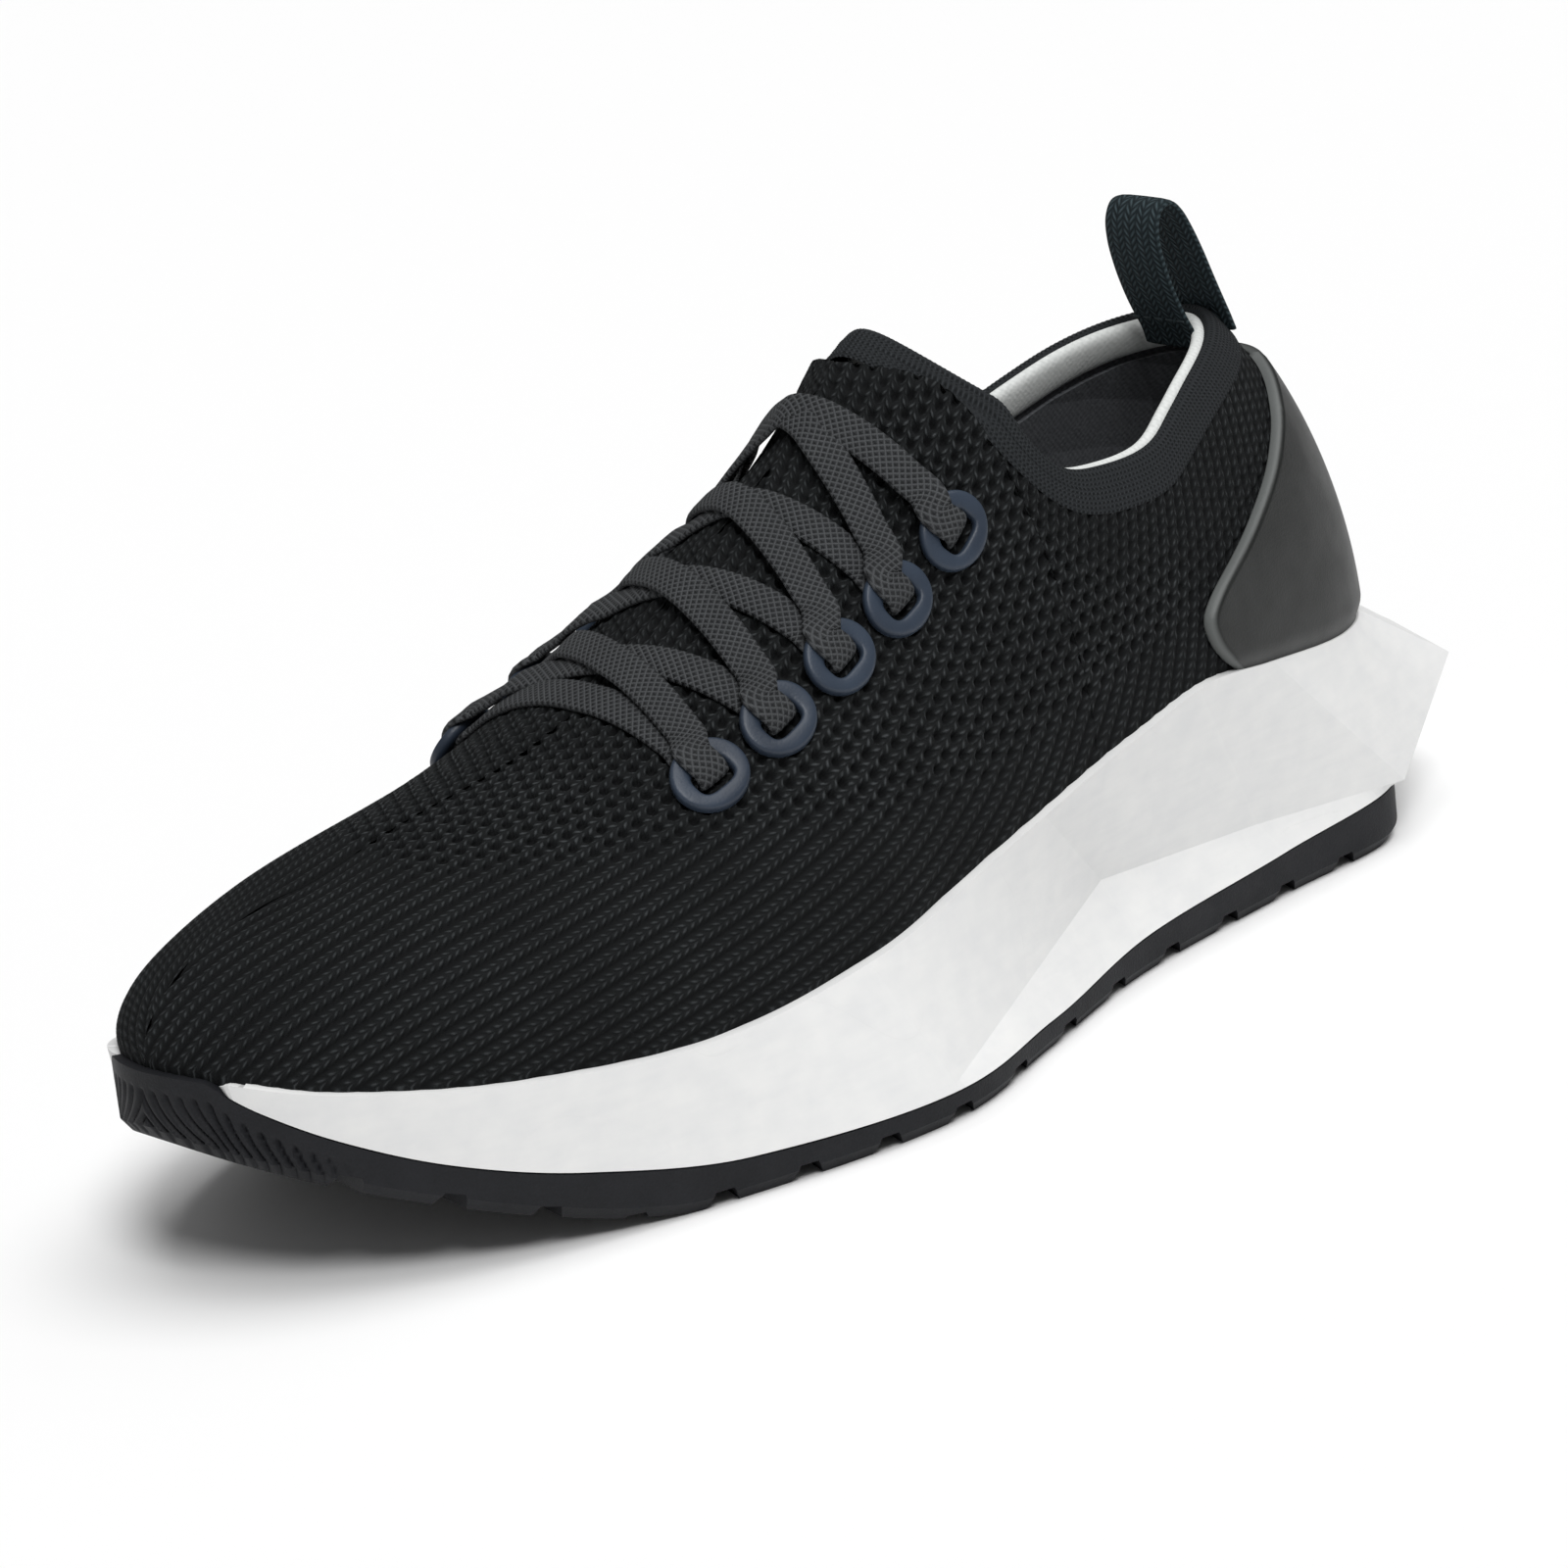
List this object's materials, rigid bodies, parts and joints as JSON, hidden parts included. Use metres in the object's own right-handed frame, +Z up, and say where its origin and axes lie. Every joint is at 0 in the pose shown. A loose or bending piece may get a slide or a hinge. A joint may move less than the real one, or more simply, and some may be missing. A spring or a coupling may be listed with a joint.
{
  "type": "running shoe",
  "caption": "Low knitted running shoe for the left foot with a faceted foam sole, lugged rubber tread, crossed flat lace, ribbed collar and heel pull loop.",
  "frame": {"origin": "middle of the footprint, on the floor the tread stands on", "axes": "-X to the toe, +X to the heel, -Y to the outer side of the foot, +Z up"},
  "size_m": [0.2986, 0.107, 0.1242],
  "materials": {
    "foam": "matte foam",
    "rubber": "matte",
    "board": "matte",
    "insole": "matte",
    "knit": "matte",
    "rib_knit": "matte",
    "pale_binding": "matte",
    "lining": "matte",
    "stiffener": "matte",
    "padding": "matte",
    "eyestay_film": "matte",
    "counter_film": "satin",
    "moulded_ring": "satin",
    "lace": "matte",
    "lace_tip": "gloss",
    "webbing": "matte"
  },
  "bodies": {
    "rearfoot": {"midsole_rearfoot": "foam", "outsole_ball": "rubber", "outsole_heel": "rubber", "strobel_board_rearfoot": "board", "insole_rearfoot": "insole", "knit_flex_zone": "knit", "knit_quarters": "knit", "collar_rib_band": "rib_knit", "collar_binding": "pale_binding", "foot_lining": "lining", "heel_stiffener": "stiffener", "collar_foam": "padding", "instep_pad": "padding", "eyestay_outer": "eyestay_film", "eyestay_inner": "eyestay_film", "heel_counter": "counter_film", "eyelet_outer_1": "moulded_ring", "eyelet_inner_1": "moulded_ring", "eyelet_outer_2": "moulded_ring", "eyelet_inner_2": "moulded_ring", "eyelet_outer_3": "moulded_ring", "eyelet_inner_3": "moulded_ring", "eyelet_outer_4": "moulded_ring", "eyelet_inner_4": "moulded_ring", "eyelet_outer_5": "moulded_ring", "eyelet_inner_5": "moulded_ring", "lace": "lace", "aglet_outer": "lace_tip", "aglet_inner": "lace_tip", "pull_loop_root_back": "webbing", "pull_loop_root_front": "webbing"},
    "forefoot": {"midsole_forefoot": "foam", "outsole_toe": "rubber", "strobel_board_forefoot": "board", "insole_forefoot": "insole", "knit_toe_box": "knit", "toe_puff": "stiffener"},
    "pull_tab": {"pull_loop": "webbing"}
  },
  "joints": [
    {"name": "forefoot_flex", "type": "hinge", "parent": "rearfoot", "child": "forefoot", "pos_m": [-0.08475, 0, 0.0276], "axis": [0, 1, 0], "range_deg": [0, 25], "stiffness_Nm_per_rad": 6, "deforming": ["knit_flex_zone"]},
    {"name": "pull_loop_swing", "type": "hinge", "parent": "rearfoot", "child": "pull_tab", "pos_m": [0.09425, 0.0034, 0.1056], "axis": [0, 1, 0], "range_deg": [-20, 20], "stiffness_Nm_per_rad": 0.005, "deforming": ["pull_loop_root_back", "pull_loop_root_front"]}
  ]
}
